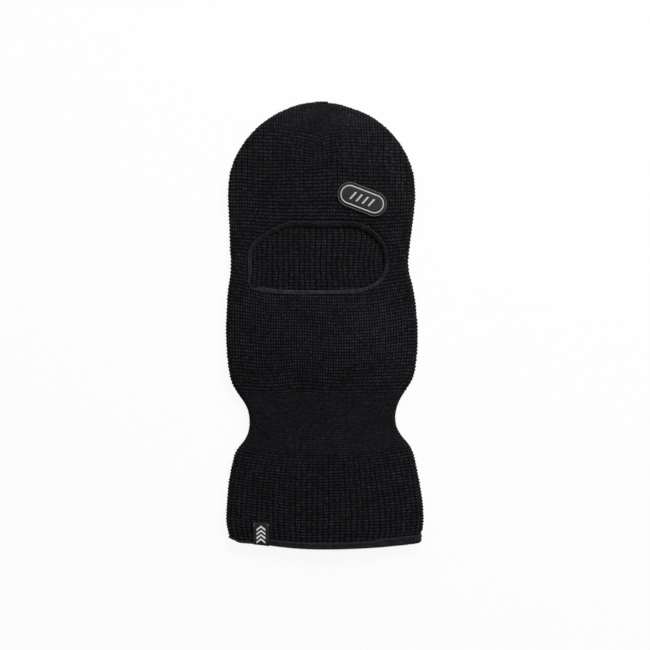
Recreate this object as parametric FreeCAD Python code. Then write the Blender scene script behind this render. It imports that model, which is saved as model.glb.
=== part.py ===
import FreeCAD, Part
import math
import os

# A knitted balaclava laid flat on its back, face up.  Millimetres.
# X runs across it, Y from the hem to the crown, Z up from the surface it lies on.
# The origin is the middle of its bounding box, on that surface.

# Driving dimensions
LENGTH = 447.5          # hem to crown
KNIT = 3.2              # one layer of rib knit
TRIM = 0.8              # how far the bindings stand proud of the knit, on each face
RIM_RADIUS = 5.6        # outside of the fold along both edges
CLEARANCE = 0.3         # between the two bodies at the fold line
FOLD_DEGREES = (-90, -50, 0, 45)    # points round the fold at each side, from underneath
DOME_SHARES = (0.84, 0.52, 0.18)    # points over the top, as shares of the way out to the fold
DOME_POWER = 2.4                    # how square the domed top is

# Crown: a superellipse above its widest line
CROWN_Y = 133.75        # widest line of the crown
CROWN_RISE = 90.0       # from there to the apex
CROWN_CENTRE_X = -3.0
CROWN_HALF_WIDTH = 93.5
CROWN_POWER = 1.85
CROWN_THICK = 23.0      # two layers and the air between them
APEX_THICK = 10.0
APEX_KNIT = 4.0         # the gathered knit is thicker across the apex
CROWN_STEPS = (0.985, 0.94, 0.86, 0.74, 0.58, 0.4, 0.2, 0.0)

# Below the crown: (y, left x, right x, thickness of the pile)
STATIONS = (
    (98, -95.0, 87.5, 18.5),
    (74, -94.3, 84.5, 14.5),
    (60, -93.5, 83.5, 14.0),
    (38, -96.0, 88.0, 15.5),
    (14, -97.8, 91.5, 19.0),
    (-10, -98.4, 93.0, 21.5),
    (-40, -96.3, 91.0, 21.0),
    (-58, -92.5, 86.0, 18.0),
    (-70, -85.5, 77.5, 15.5),
    (-82, -77.5, 72.0, 14.0),
    (-94, -74.8, 70.3, 13.5),
    (-106, -75.6, 73.5, 14.0),
    (-118, -82.0, 83.0, 15.5),
    (-124, -87.4, 87.2, 17.0),
    (-136, -91.8, 90.7, 18.5),
    (-154, -95.3, 94.3, 20.0),
    (-178, -97.6, 98.0, 20.5),
    (-196, -98.1, 98.6, 20.5),
    (-207, -95.8, 97.8, 20.0),
    (-216, -89.0, 97.2, 19.5),
    (-228, -78.0, 96.8, 19.0),
)

# Rows across the tube
BAND_TOP_Y = -68.0      # hood to neck band
FOLD_Y = -120.0         # neck band to neck skirt
HEM_SIDE_Y = -216.5     # lower edge of the hem at its two corners
HEM_END_RISE = 4.0      # from there to where its curve ends, clear of the tube
HEM_DEPTH = 6.0
HEM_JOIN_X = (84.0, 96.0)

# Face opening: the outer edge of its binding, anticlockwise from the top left
OPENING = (
    (-38, 102), (-50, 96.5), (-66, 86.5), (-75, 77), (-76, 60), (-73.5, 43), (-62, 34.5), (-40, 31),
    (-14, 30.5), (14, 31), (40, 33.5), (56, 42), (64.5, 57), (63.5, 74), (53, 90), (36, 101), (18, 103),
    (-20, 103),
)
BINDING_WIDTH = 6.0
SEAM_WIDTH = 1.0

# Patch on the forehead
PATCH_CENTRE = (37.3, 125.0)
PATCH_TILT = -21.0
PATCH_LENGTH = 51.0
PATCH_HEIGHT = 24.4
PATCH_THICK = 1.2
BORDER_INSET = 3.2
BORDER_WIDTH = 1.3
STITCH_INSET = 1.1
STITCH_WIDTH = 0.6
LINE_RAISE = 0.4
BAR_STEP = 6.5
BAR_COUNT = 4
BAR_WIDTH = 2.0
BAR_HALF_RUN = 1.6      # how far a bar's ends are to either side of its middle
BAR_HALF_RISE = 4.2

# Folded label on the hem
LABEL_LEFT_X = -71.0
LABEL_WIDTH = 15.5
LABEL_TOP_Y = -197.3
LABEL_THICK = 0.8
CHEVRON_Y = (-200.8, -204.9, -209.0, -213.1)
CHEVRON_RISE = 3.4
CHEVRON_HALF_WIDTH = 4.4
CHEVRON_LINE = 2.6      # along Y
TACK_SIZE = 1.4
TACK_INSET = 0.4

# Crown seams and closure
DART_X = -6.0
DART_LENGTH = 33.0
DART_WIDTH = 2.4
CLOSURE_HALF = (7.0, 1.35, 3.2)

MIDDLE_Z = 6.5          # between the two layers
UNDERSIDE_Z = -1.0      # the underside before it is cut flat at zero
HIGH = 80.0             # taller than anything here
WIDE = 130.0            # wider than half of anything here


def vec(x, y, z=0.0):
    return FreeCAD.Vector(x, y, z)


def crown_rows():
    """(y, left, right, thickness) from the apex down to the crown's widest line."""
    rows = []
    for t in CROWN_STEPS:
        half = CROWN_HALF_WIDTH * (1 - t * t) ** (1 / CROWN_POWER)
        thick = APEX_THICK + (CROWN_THICK - APEX_THICK) * math.sqrt(1 - t * t)
        rows.append((CROWN_Y + CROWN_RISE * t, CROWN_CENTRE_X - half, CROWN_CENTRE_X + half, thick))
    return rows


def section(row, grow, floor):
    """The pile's outline across its width: a flat underside and a domed top joined by folds."""
    y, left, right, thick = row
    radius = RIM_RADIUS + grow
    centre = (left + right) / 2
    half = (right - left) / 2
    flat = half - RIM_RADIUS
    side = []
    for degrees in FOLD_DEGREES:
        a = math.radians(degrees)
        side.append((flat + radius * math.cos(a), RIM_RADIUS + radius * math.sin(a)))
    for u in DOME_SHARES:
        dome = (thick - 2 * RIM_RADIUS) * (1 - u ** DOME_POWER)
        side.append((flat * u, 2 * RIM_RADIUS + dome + grow))
    points = [vec(centre + x, y, z) for x, z in side]
    points += [vec(centre - x, y, z) for x, z in reversed(side)]
    points[0].z = points[-1].z = floor
    skin = Part.BSplineCurve()
    skin.interpolate(Points=points, Parameters=[float(i) for i in range(len(points))])
    base = Part.LineSegment(points[-1], points[0])
    return Part.Wire([skin.toShape(), base.toShape()])


def pile(grow, floor):
    """The whole outline as one solid, grown outwards by grow, with its underside at floor."""
    wires = [section(row, grow, floor) for row in crown_rows() + list(STATIONS)]
    return Part.makeLoft(wires, True, False)


def slab(y_low, y_high, x_low=-WIDE, x_high=WIDE, z_low=0.0):
    return Part.makeBox(x_high - x_low, y_high - y_low, HIGH - z_low, vec(x_low, y_low, z_low))


def prism(wire, z_low=MIDDLE_Z):
    return Part.Face(wire).extrude(vec(0, 0, HIGH)).translated(vec(0, 0, z_low))


def hem_prism(y_offset):
    """Everything above a line that bows down in the middle like the hem, moved up by y_offset."""
    end_y = HEM_SIDE_Y + HEM_END_RISE + y_offset
    arc = Part.Arc(vec(-WIDE, end_y), vec(0, -LENGTH / 2 + y_offset), vec(WIDE, end_y)).toShape()
    corners = [vec(WIDE, end_y), vec(WIDE, LENGTH), vec(-WIDE, LENGTH), vec(-WIDE, end_y)]
    return prism(Part.Wire([arc] + Part.makePolygon(corners).Edges), z_low=0.0)


def opening_loop(inset):
    """The face opening's edge, moved inwards by inset."""
    count = len(OPENING)
    points = []
    for i, (x, y) in enumerate(OPENING):
        before, after = OPENING[i - 1], OPENING[(i + 1) % count]
        dx, dy = after[0] - before[0], after[1] - before[1]
        size = math.hypot(dx, dy)
        points.append(vec(x - dy / size * inset, y + dx / size * inset))
    curve = Part.BSplineCurve()
    curve.interpolate(Points=points, PeriodicFlag=True)
    return Part.Wire(curve.toShape())


def stadium(inset):
    """A pill outline the size of the patch, less inset all round, at the patch's place and tilt."""
    r = PATCH_HEIGHT / 2 - inset
    s = (PATCH_LENGTH - PATCH_HEIGHT) / 2
    edges = [
        Part.LineSegment(vec(-s, -r), vec(s, -r)).toShape(),
        Part.Arc(vec(s, -r), vec(s + r, 0), vec(s, r)).toShape(),
        Part.LineSegment(vec(s, r), vec(-s, r)).toShape(),
        Part.Arc(vec(-s, r), vec(-s - r, 0), vec(-s, -r)).toShape(),
    ]
    return place_on_patch(Part.Wire(edges))


def place_on_patch(shape):
    shape.rotate(vec(0, 0), vec(0, 0, 1), PATCH_TILT)
    shape.translate(vec(*PATCH_CENTRE))
    return shape


def bar(x):
    """A leaning bar of the patch's motif, as a closed wire."""
    low, high, half = x - BAR_HALF_RUN, x + BAR_HALF_RUN, BAR_WIDTH / 2
    corners = [
        vec(low - half, -BAR_HALF_RISE),
        vec(low + half, -BAR_HALF_RISE),
        vec(high + half, BAR_HALF_RISE),
        vec(high - half, BAR_HALF_RISE),
    ]
    return place_on_patch(Part.makePolygon(corners + corners[:1]))


def ribbon(points, width):
    """A closed wire around a bent line, width wide along Y."""
    half = width / 2
    upper = [vec(x, y + half) for x, y in points]
    lower = [vec(x, y - half) for x, y in reversed(points)]
    return Part.makePolygon(upper + lower + upper[:1])


def coat(solid, low, high):
    """A skin over the top of a solid, between two heights above it."""
    return solid.translated(vec(0, 0, high)).cut(solid.translated(vec(0, 0, low)))


def largest(shape):
    return max(shape.Solids, key=lambda s: s.Volume)


def export(shape, name):
    shape.exportStep(f"parts/{name}.step")
    print(f"{name:22s} solids {len(shape.Solids)}  volume {shape.Volume:9.1f}  valid {shape.isValid()}")


def knit_pieces(outer, inner):
    """Hood, neck band and neck skirt: one knitted tube, split where its stitch changes."""
    tube = outer.cut(inner)
    hood = tube.common(slab(BAND_TOP_Y, LENGTH)).cut(prism(opening_loop(0)))
    band = tube.common(slab(FOLD_Y + CLEARANCE / 2, BAND_TOP_Y))
    skirt = tube.common(slab(-LENGTH, FOLD_Y - CLEARANCE / 2)).common(hem_prism(HEM_DEPTH))
    export(largest(hood), "hood_knit")
    export(largest(band), "neck_band")
    export(largest(skirt), "neck_skirt")


def face_pieces(outer, trim):
    """The tube of jersey round the face opening, and the seam that holds it."""
    ring = prism(opening_loop(0)).cut(prism(opening_loop(BINDING_WIDTH)))
    export(largest(trim.common(ring)), "face_binding")
    seam = prism(opening_loop(-SEAM_WIDTH)).cut(prism(opening_loop(0)))
    export(largest(coat(outer, 0, TRIM).common(seam)), "binding_seam")


def hem_pieces(outer, trim_outer, trim):
    """The strip bound round the lower edge, its seam, and the overlap of its two ends."""
    strip = hem_prism(0).cut(hem_prism(HEM_DEPTH))
    export(largest(trim.common(strip)), "hem_band")
    row = hem_prism(HEM_DEPTH).cut(hem_prism(HEM_DEPTH + SEAM_WIDTH))
    export(largest(trim_outer.cut(outer).common(row)), "hem_seam")
    end = strip.common(slab(-LENGTH, 0, *HEM_JOIN_X, MIDDLE_Z))
    export(largest(coat(trim_outer, 0, LABEL_THICK).common(end)), "hem_join")


def patch_pieces(outer):
    """A moulded patch with a raised border and four raised bars, sewn down round its edge."""
    plate = coat(outer, 0, PATCH_THICK)
    lines = coat(outer, PATCH_THICK, PATCH_THICK + LINE_RAISE)
    export(plate.common(prism(stadium(0))), "patch_base")
    border = prism(stadium(BORDER_INSET)).cut(prism(stadium(BORDER_INSET + BORDER_WIDTH)))
    export(lines.common(border), "patch_border")
    stitch = prism(stadium(STITCH_INSET)).cut(prism(stadium(STITCH_INSET + STITCH_WIDTH)))
    export(lines.common(stitch), "patch_stitching")
    first = -BAR_STEP * (BAR_COUNT - 1) / 2
    bars = [lines.common(prism(bar(first + BAR_STEP * i))) for i in range(BAR_COUNT)]
    export(Part.makeCompound(bars), "patch_motif")


def label_pieces(trim_outer, trim_inner):
    """A tape folded over the hem's lower edge, its motif, and the tacks at its top corners."""
    right = LABEL_LEFT_X + LABEL_WIDTH
    below = slab(-LENGTH, 0, LABEL_LEFT_X, right, MIDDLE_Z)
    lip = hem_prism(-LABEL_THICK).cut(hem_prism(0)).common(below)
    face = slab(-LENGTH, LABEL_TOP_Y, LABEL_LEFT_X, right, MIDDLE_Z).common(hem_prism(0))
    front = coat(trim_outer, 0, LABEL_THICK).common(face)
    back = trim_inner.cut(trim_inner.translated(vec(0, 0, -LABEL_THICK))).common(face)
    around = trim_outer.translated(vec(0, 0, LABEL_THICK))
    turn = around.cut(trim_inner.translated(vec(0, 0, -LABEL_THICK))).common(lip)
    export(largest(front.fuse(turn).fuse(back)), "hem_label")
    raised = coat(trim_outer, LABEL_THICK, LABEL_THICK + LINE_RAISE)
    middle = LABEL_LEFT_X + LABEL_WIDTH / 2
    chevrons = []
    for y in CHEVRON_Y:
        foot = y - CHEVRON_RISE
        bend = [(middle - CHEVRON_HALF_WIDTH, foot), (middle, y), (middle + CHEVRON_HALF_WIDTH, foot)]
        chevrons.append(raised.common(prism(ribbon(bend, CHEVRON_LINE))))
    export(Part.makeCompound(chevrons), "label_motif")
    tacks = []
    tack_y = LABEL_TOP_Y - TACK_INSET
    for x in (LABEL_LEFT_X + TACK_INSET, right - TACK_INSET - TACK_SIZE):
        spot = slab(tack_y - TACK_SIZE, tack_y, x, x + TACK_SIZE, MIDDLE_Z)
        tacks.append(raised.common(spot))
    export(Part.makeCompound(tacks), "label_tacks")


def crown_pieces(inner, trim_inner):
    """The seams inside the crown's front and back darts, and the gather that closes the apex."""
    end_y = CROWN_Y + CROWN_RISE * CROWN_STEPS[0]
    inside_y = end_y - APEX_KNIT
    dart = slab(inside_y - DART_LENGTH, inside_y, DART_X - DART_WIDTH / 2, DART_X + DART_WIDTH / 2)
    ridge = inner.cut(trim_inner).common(dart)
    export(largest(ridge.common(slab(0, LENGTH, z_low=MIDDLE_Z))), "crown_seam_front")
    export(largest(ridge.cut(slab(0, LENGTH, z_low=MIDDLE_Z))), "crown_seam_back")
    knot = Part.makeSphere(1)
    stretch = FreeCAD.Matrix()
    stretch.scale(*CLOSURE_HALF)
    knot = knot.transformGeometry(stretch).translated(vec(CROWN_CENTRE_X, end_y, RIM_RADIUS))
    export(largest(knot.common(slab(end_y, LENGTH))), "crown_closure")


def main():
    os.makedirs("parts", exist_ok=True)
    above = slab(-LENGTH, LENGTH)
    outer = pile(0, UNDERSIDE_Z).common(above)
    below_apex = slab(-LENGTH, CROWN_Y + CROWN_RISE * CROWN_STEPS[0] - APEX_KNIT)
    inner = pile(-KNIT, KNIT).common(below_apex)
    trim_outer = pile(TRIM, UNDERSIDE_Z).common(above)
    trim_inner = pile(-KNIT - TRIM, KNIT + TRIM).common(below_apex)
    trim = trim_outer.cut(trim_inner)
    knit_pieces(outer, inner)
    face_pieces(outer, trim)
    hem_pieces(outer, trim_outer, trim)
    patch_pieces(outer)
    label_pieces(trim_outer, trim_inner)
    crown_pieces(inner, trim_inner)


main()
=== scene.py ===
"""Looks for a knitted balaclava laid flat on its back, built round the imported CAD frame.

Lengths are in millimetres until a mesh is made.  X runs across it, Y from the hem to the crown, Z up.
The cloth is drawn unfolded, as if its side folds were opened out flat, and fold() lays it in place.
"""

import math

import bpy
import numpy as np
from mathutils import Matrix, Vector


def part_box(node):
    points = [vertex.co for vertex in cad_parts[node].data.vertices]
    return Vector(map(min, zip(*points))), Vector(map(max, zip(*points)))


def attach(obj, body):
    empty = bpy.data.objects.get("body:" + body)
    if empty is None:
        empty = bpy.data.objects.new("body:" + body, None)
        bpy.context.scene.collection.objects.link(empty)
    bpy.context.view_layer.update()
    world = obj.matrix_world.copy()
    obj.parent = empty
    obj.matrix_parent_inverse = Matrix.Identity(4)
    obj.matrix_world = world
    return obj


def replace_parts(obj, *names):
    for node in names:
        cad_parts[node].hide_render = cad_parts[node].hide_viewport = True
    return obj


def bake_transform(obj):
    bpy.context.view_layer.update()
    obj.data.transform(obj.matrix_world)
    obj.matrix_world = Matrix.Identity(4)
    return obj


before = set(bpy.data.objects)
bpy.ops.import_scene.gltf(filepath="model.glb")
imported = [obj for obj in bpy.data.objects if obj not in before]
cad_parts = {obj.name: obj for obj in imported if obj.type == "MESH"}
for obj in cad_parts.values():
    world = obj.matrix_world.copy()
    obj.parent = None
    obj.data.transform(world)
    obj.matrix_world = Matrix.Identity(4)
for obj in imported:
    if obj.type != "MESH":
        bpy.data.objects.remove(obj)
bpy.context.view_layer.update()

MM = 0.001
SEED = 11

# Knit
KNIT = 3.2                  # one layer
RIM = 5.6                   # outside radius of the folds at both sides and round the crown
QUARTER = RIM * math.pi / 2
SPREAD = QUARTER - RIM      # how much wider the unfolded cloth is, each side
RIBS = 38                   # across one layer
PER_RIB = 8                 # mesh columns to a rib
PER_COURSE = 4              # mesh rows to a course
FOLD_PHASE = 2              # the side folds run along the middle of a leg of the rib
COURSE = {"hood": 3.43, "band": 2.2, "skirt": 3.12}
DEPTH = {"hood": 1.15, "band": 0.45, "skirt": 1.35}
COLUMNS = RIBS * PER_RIB

# Rows across the tube, from the frame
MID_Y = 1000 * (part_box("neck_band")[1].y)       # hood to neck band
BAND_LOW_Y = -121.0                             # neck band to skirt, at the sides
BAND_BOW = 9.5                                  # how much lower that line is in the middle
HEM_LOW_Y = 1000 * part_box("hem_band")[0].y      # the hem's lowest point, in the middle
HEM_RISE = 11.25                                # how far the hem rises, this far out:
HEM_REACH = 130.0
HEM_DEPTH = 6.0
HEM_TOOTH = 2.6             # the knit under the strip shows as small lumps, this far apart
CORNER_STEP = (0.8, 2.2)    # how far the outline steps in where the hem's strip draws it, left and right
TRIM = 0.8
CORNER_Y, CORNER_EASE = -204.0, 4.0             # where that step starts, and over how far
CORNER_BULGE = (-213.0, 5.0, 3.2)               # Y, size and distance of the bulge at the left corner
EDGE_RUN_ON = 14.0                              # how far the outline carries on below its lowest row
CROWN_BUMPS = ((-6.0, 8.0, 0.8), (24.0, 16.0, -1.3))    # X, size and height of the crown's unevenness

# Lip of the face opening
LIP_SLOPE = 0.74            # how steeply it turns in at the sides
LIP_STEEPER = 0.2           # more along the top, less along the bottom
LIP_EASE = 1.7
LIP_REST = 8.7              # height at which it lies on the back layer
LIP_REACH = 28.0
LIP_END = 80.0              # beyond this far from it the cloth lies as if there were no opening
LIP_TUCK = (-73.0, 38.0)    # lower left corner, where the lip is pushed out of sight
LIP_TUCK_SIZE = 8.0
LIP_TUCK_DEPTH = 2.0
LIP_STEEP = (((-58.0, 88.0), 20.0), ((64.0, 72.0), 18.0))    # (X, Y) and size of where it is steeper still
LIP_STEEP_EXTRA = 0.4
# Where the opening's edge lies further out than the CAD one: (X, Y), size and distance
LIP_MOVES = (((-70.0, 40.5), 8.0, 4.2), ((65.5, 65.5), 16.0, -1.6))

# How much of the CAD solid's rise over its side folds the cloth has, up the tube
LOFT_Y = (105.0, 165.0)
LOFT = (0.6, 0.95)

# Gauge: ribs lie closer together over the left of the forehead, and rows sag under the face opening
FOREHEAD_GATHER = 0.14
SAG_Y = (-52.0, 37.0, 100.0, 160.0)
SAG = (0.0, 9.5, 3.5, 0.0)

SKIRT_STRETCH = 0.06

# The back layer's rows are closer together behind the opening and its ribs further apart
BACK_Y = (-50.0, 30.0, 108.0, 195.0)
BACK_SHIFT = (0.0, 9.0, -9.0, 0.0)
BACK_STRETCH = 0.14


# ------------ shapes read from the frame

def node_edges(name):
    """Vertices in millimetres and edges of a CAD node."""
    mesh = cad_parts[name].data
    points = np.zeros(len(mesh.vertices) * 3, np.float32)
    mesh.vertices.foreach_get("co", points)
    ends = np.zeros(len(mesh.edges) * 2, np.int32)
    mesh.edges.foreach_get("vertices", ends)
    return points.reshape(-1, 3).astype(float) / MM, ends.reshape(-1, 2)


def crossings(points, edges, axis, level):
    """Where the edges cross the plane in which the coordinate axis has the value level."""
    a, b = points[edges[:, 0]], points[edges[:, 1]]
    da, db = a[:, axis] - level, b[:, axis] - level
    hit = (da * db < 0)
    t = (da[hit] / (da[hit] - db[hit]))[:, None]
    return a[hit] + (b[hit] - a[hit]) * t


def smooth(values, passes):
    """Averages each value with its neighbours, ends kept."""
    out = np.array(values, float)
    for _ in range(passes):
        out[1:-1] = (out[:-2] + 2 * out[1:-1] + out[2:]) / 4
    return out


def ease(t):
    t = np.clip(t, 0, 1)
    return t * t * (3 - 2 * t)


def read_outline():
    """Levels of Y with the pile's left edge, right edge and thickness at each."""
    tube = [node_edges(n) for n in ("neck_skirt", "neck_band", "hood_knit")]
    hem = node_edges("hem_band")
    top = tube[2][0][:, 1].max()
    share = np.linspace(1, 0, 260)
    levels = top - 0.05 - (top - HEM_LOW_Y - 7) * share ** 1.6
    rows = []
    for y in levels:
        cut = np.concatenate([crossings(p, e, 1, y) for p, e in tube])
        low, high = cut[:, 0].min(), cut[:, 0].max()
        strip = crossings(*hem, 1, y)
        if len(strip):
            low, high = min(low, strip[:, 0].min() + TRIM), max(high, strip[:, 0].max() - TRIM)
        rows.append((y, low, high, cut[:, 2].max()))
    rows = np.array(rows)
    y = rows[:, 0]
    step = ease((CORNER_Y - y) / CORNER_EASE)
    bulge_y, size, distance = CORNER_BULGE
    rows[:, 1] += CORNER_STEP[0] * step - distance * np.exp(-((y - bulge_y) / size) ** 2)
    rows[:, 2] -= CORNER_STEP[1] * step
    rows[:, 3] = smooth(rows[:, 3], 12)
    return rows


OUTLINE = read_outline()
TOP_Y = OUTLINE[-1, 0]
CROWN_ROW = len(OUTLINE) // 2 + np.argmax((OUTLINE[:, 2] - OUTLINE[:, 1])[len(OUTLINE) // 2:])
CROWN_Y = OUTLINE[CROWN_ROW, 0]


def left(y):
    return np.interp(y, OUTLINE[:, 0], OUTLINE[:, 1])


def right(y):
    return np.interp(y, OUTLINE[:, 0], OUTLINE[:, 2])


def thick(y):
    return np.interp(y, OUTLINE[:, 0], OUTLINE[:, 3])


def resample(points, step, closed=False):
    """Points the same distance apart along a line."""
    path = np.vstack([points, points[:1]]) if closed else np.array(points, float)
    run = np.concatenate([[0], np.cumsum(np.linalg.norm(np.diff(path, axis=0), axis=1))])
    count = max(2, round(run[-1] / step))
    at = np.linspace(0, run[-1], count + 1)
    if closed:
        at = at[:-1]
    return np.stack([np.interp(at, run, path[:, k]) for k in range(path.shape[1])], 1)


def directions(path, closed=False):
    """The unit direction of travel at each point of a line."""
    if closed:
        step = np.roll(path, -1, 0) - np.roll(path, 1, 0)
    else:
        step = np.gradient(path, axis=0)
    return step / np.maximum(np.linalg.norm(step, axis=1, keepdims=True), 1e-9)


def edge_line():
    """The folded outline from the hem's left corner round the crown to its right corner, and the way out."""
    side_l = OUTLINE[:, [1, 0]]
    side_r = OUTLINE[::-1, [2, 0]]
    down = side_l[0] - side_l[3]
    low_l = side_l[:1] + down / np.linalg.norm(down) * EDGE_RUN_ON
    low_r = side_r[-1:] - [[0, EDGE_RUN_ON]]
    path = resample(np.vstack([low_l, side_l, side_r, low_r]), 1.0)
    rough = np.stack([smooth(path[:, k], 6) for k in (0, 1)], 1)
    even = np.stack([smooth(path[:, k], 18) for k in (0, 1)], 1)
    path = rough + (even - rough) * ease((path[:, 1:] + 205) / 20)
    crown = path[:, 1] > 150
    path[:, 1] += crown * sum(high * np.exp(-((path[:, 0] - x) / size) ** 2) for x, size, high in CROWN_BUMPS)
    ahead = directions(path)
    return path, np.stack([-ahead[:, 1], ahead[:, 0]], 1)


EDGE, EDGE_OUT = edge_line()
UNFOLDED = EDGE + EDGE_OUT * SPREAD


def nearest(points, targets):
    """Index of the target nearest to each point."""
    best = np.empty(len(points), int)
    size = (targets ** 2).sum(1)
    for start in range(0, len(points), 5000):
        part = points[start:start + 5000]
        best[start:start + 5000] = (size - 2 * part @ targets.T).argmin(1)
    return best


def near_edge(x, y):
    """How far each unfolded point is inside the unfolded outline, and the way out from there."""
    points = np.stack([x, y], 1)
    k = nearest(points, UNFOLDED)
    out = EDGE_OUT[k]
    return ((UNFOLDED[k] - points) * out).sum(1), out


def node_ring(name, centre):
    """The outer edge, as seen from above, of a CAD node that goes round a centre."""
    points, edges = node_edges(name)
    rel = points[:, :2] - centre
    outer = []
    for angle in np.linspace(0, 2 * math.pi, 360, endpoint=False):
        c, s = math.cos(angle), math.sin(angle)
        turned = np.stack([rel[:, 0] * c + rel[:, 1] * s, rel[:, 1] * c - rel[:, 0] * s], 1)
        reach = crossings(turned, edges, 1, 0.0)[:, 0].max()
        outer.append((centre[0] + c * reach, centre[1] + s * reach))
    return np.array(outer)


def smooth_ring(path, passes):
    out = path.copy()
    for _ in range(passes):
        out = (np.roll(out, 1, 0) + 2 * out + np.roll(out, -1, 0)) / 4
    return out


FACE_CENTRE = np.array([-5.0, 67.0])
BINDING_WIDTH = 6.0


def way_in(loop):
    """The way into a closed line, at each of its points."""
    ahead = directions(loop, closed=True)
    return np.stack([-ahead[:, 1], ahead[:, 0]], 1)


def face_loops():
    """The binding's outer edge, evenly spaced, and the way in from it."""
    outer = node_ring("face_binding", FACE_CENTRE)
    outer = smooth_ring(resample(smooth_ring(outer, 3), 1.0, closed=True), 24)
    for place, size, distance in LIP_MOVES:
        near = np.exp(-((outer - place) ** 2).sum(1) / size ** 2)[:, None]
        outer = outer - way_in(outer) * near * distance
    return outer, way_in(outer)


OUTER_LOOP, INWARD = face_loops()
LIP_TUCKED = np.exp(-((OUTER_LOOP - LIP_TUCK) ** 2).sum(1) / LIP_TUCK_SIZE ** 2)
# Widest along the top, narrower along the bottom and at the sides
LIP_WIDTH = BINDING_WIDTH * (1 - 0.28 * np.maximum(INWARD[:, 1], 0) - 0.3 * INWARD[:, 0] ** 2)
LIP_WIDTH = (LIP_WIDTH * (1 - 0.4 * LIP_TUCKED))[:, None]
LIP_SLOPES = LIP_SLOPE - LIP_STEEPER * INWARD[:, 1]
LIP_TURNED = sum(np.exp(-((OUTER_LOOP - place) ** 2).sum(1) / size ** 2) for place, size in LIP_STEEP)
LIP_SLOPES += LIP_STEEP_EXTRA * LIP_TURNED


def lip_drop(x, y, rise):
    """How far the front layer sinks towards the back one near the face opening, and curls into it."""
    points = np.stack([np.ravel(x), np.ravel(y)], 1)
    k = nearest(points, OUTER_LOOP)
    away = np.linalg.norm(points - OUTER_LOOP[k], axis=1)
    outside = -((points - OUTER_LOOP[k]) * INWARD[k]).sum(1)
    outside = np.where(outside > 0, away, np.maximum(outside, -7))
    curl = LIP_SLOPES[k] * LIP_EASE * np.log1p(np.exp(-np.minimum(outside, 60) / LIP_EASE))
    sink = np.maximum(rise + 2 * RIM - LIP_REST, 0) * np.exp(-np.maximum(outside, 0) / LIP_REACH)
    return curl + sink * ease((LIP_END - outside) / 40)


def ripple(x, y):
    """Slow unevenness of cloth that lies by its own weight, about 1 mm either way."""
    return (0.45 * np.sin(x / 21 + 0.6) * np.sin(y / 33 + 1.1) + 0.35 * np.sin(x / 13 - y / 27)
            + 0.3 * np.sin(y / 17 + x / 60 + 2.0))


DOME_POWER, DOME_EDGE = 2.4, 13.0       # how flat the middle is, and how soon it rises at the folds


def dome(x, y, inside):
    """How far the front layer stands above the top of the side folds."""
    half = (right(y) - left(y)) / 2 - RIM
    u = np.clip(np.abs(x - (right(y) + left(y)) / 2) / np.maximum(half, 1), 0, 1)
    loft = np.interp(y, LOFT_Y, LOFT)
    rise = loft * np.maximum(thick(y) - 2 * RIM, 0) * (1 - u ** DOME_POWER) + ripple(x, y)
    rise = rise * (1 - np.exp(-np.maximum(inside - QUARTER, 0) / DOME_EDGE))
    near = (y > OUTER_LOOP[:, 1].min() - LIP_END) & (y < OUTER_LOOP[:, 1].max() + LIP_END)
    drop = np.zeros(len(x))
    drop[near] = lip_drop(x[near], y[near], rise[near])
    return rise - drop


def fold(x, y, side, inside=None):
    """Lays unfolded points in place: side is 1 for the front layer and -1 for the back one.
    Returns the points of the cloth's outer face and the way that face looks."""
    x, y = np.asarray(x, float), np.asarray(y, float)
    found, out = near_edge(x, y)
    inside = found if inside is None else inside
    turn = np.clip(inside / RIM, 0, math.pi / 2)
    pull = np.where(inside < QUARTER, found - SPREAD - RIM * (1 - np.cos(turn)), 0)
    px, py = x + out[:, 0] * pull, y + out[:, 1] * pull
    pz = RIM + side * RIM * np.sin(turn)
    normal = np.stack([out[:, 0] * np.cos(turn), out[:, 1] * np.cos(turn), side * np.sin(turn)], 1)
    if side > 0:
        pz = pz + dome(px, py, inside)
        e = 0.5
        sx = (dome(px + e, py, inside - e * out[:, 0]) - dome(px - e, py, inside + e * out[:, 0])) / (2 * e)
        sy = (dome(px, py + e, inside - e * out[:, 1]) - dome(px, py - e, inside + e * out[:, 1])) / (2 * e)
        normal = normal - np.stack([sx, sy, 0 * sx], 1) * np.sin(turn)[:, None]
    normal /= np.linalg.norm(normal, axis=1, keepdims=True)
    return np.stack([px, py, pz], 1), normal


def across(u, y):
    """Unfolded X at a share u of the way from the left fold to the right one."""
    low = np.minimum(y, CROWN_Y)
    return left(low) - SPREAD + (right(low) - left(low) + 2 * SPREAD) * u


# ------------ meshes

def make(name, points, faces, material, **attributes):
    """A mesh object from points in millimetres and faces of one size or several."""
    mesh = bpy.data.meshes.new(name)
    faces = [f for f in (np.asarray(f) for f in (faces if isinstance(faces, list) else [faces])) if len(f)]
    loops = np.concatenate([f.ravel() for f in faces]).astype(np.int32)
    sizes = np.concatenate([np.full(len(f), f.shape[1]) for f in faces]).astype(np.int32)
    starts = np.concatenate([[0], np.cumsum(sizes)[:-1]]).astype(np.int32)
    mesh.vertices.add(len(points))
    mesh.vertices.foreach_set("co", (np.asarray(points) * MM).astype(np.float32).ravel())
    mesh.loops.add(len(loops))
    mesh.loops.foreach_set("vertex_index", loops)
    mesh.polygons.add(len(sizes))
    mesh.polygons.foreach_set("loop_start", starts)
    mesh.polygons.foreach_set("loop_total", sizes)
    mesh.update(calc_edges=True)
    mesh.validate()
    mesh.polygons.foreach_set("use_smooth", np.ones(len(mesh.polygons), bool))
    for key, values in attributes.items():
        layer = mesh.attributes.new(key, "FLOAT", "POINT")
        layer.data.foreach_set("value", np.asarray(values, np.float32))
    piece = bpy.data.objects.new(name, mesh)
    bpy.context.scene.collection.objects.link(piece)
    piece.data.materials.append(material)
    return piece


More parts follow.
